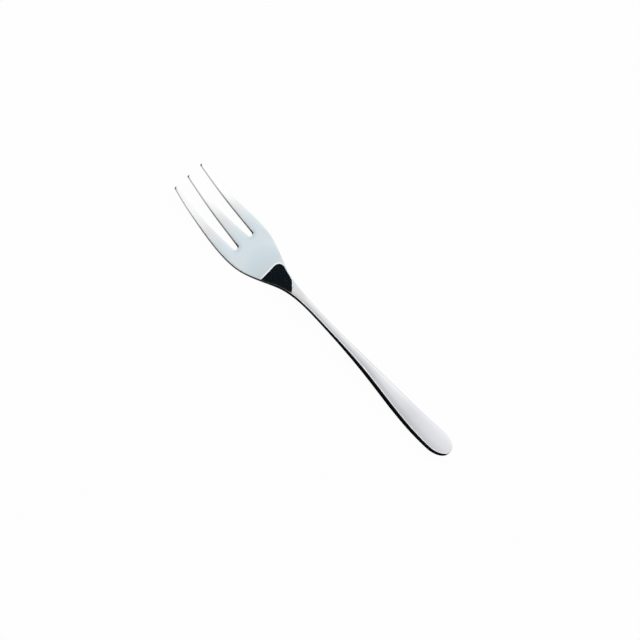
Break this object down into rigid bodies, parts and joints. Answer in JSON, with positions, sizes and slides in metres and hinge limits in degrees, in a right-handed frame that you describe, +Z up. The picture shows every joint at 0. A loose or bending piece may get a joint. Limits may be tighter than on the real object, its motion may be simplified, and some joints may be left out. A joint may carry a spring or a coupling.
{
  "type": "pastry fork",
  "caption": "Slim polished steel pastry fork with tapered tines, a shallow bowl, a narrow raised neck and a flat handle that widens to a rounded end.",
  "frame": {"origin": "on the table that the fork lies on, under the middle of its length and width", "axes": "+X from the tine tips to the handle's end, +Y across the tines, +Z up, out of the hollow of the bowl"},
  "size_m": [0.15, 0.0228, 0.0056],
  "materials": {
    "polished_steel": "mirror polished stainless steel, solid and not plated"
  },
  "bodies": {
    "root": {"fork": "polished_steel"}
  },
  "joints": []
}
